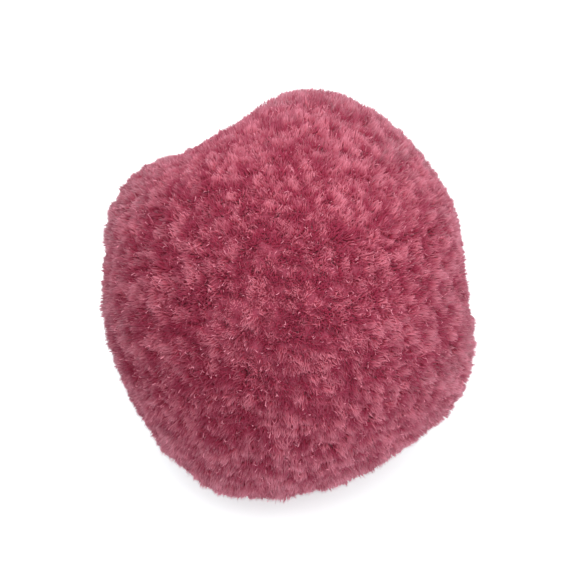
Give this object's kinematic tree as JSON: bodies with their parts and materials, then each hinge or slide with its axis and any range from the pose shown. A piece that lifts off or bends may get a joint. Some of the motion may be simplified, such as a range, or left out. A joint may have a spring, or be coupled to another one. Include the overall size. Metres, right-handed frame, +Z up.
{
  "type": "yarn pom pom",
  "caption": "Small round craft pom pom of dense cut yarn pile, slightly lumpy, resting on a small level patch of its own locks.",
  "frame": {"origin": "on the surface that the pom pom lies on, in the middle of the level lock ends, straight under the middle of the ball", "axes": "+Z up, +X to the right as seen from the front, +Y towards the back"},
  "size_m": [0.029, 0.0312, 0.03],
  "materials": {
    "yarn": "cut yarn pile, dusty rose, matt with a soft sheen at the edges"
  },
  "bodies": {
    "root": {"yarn_pile": "yarn"}
  },
  "joints": []
}
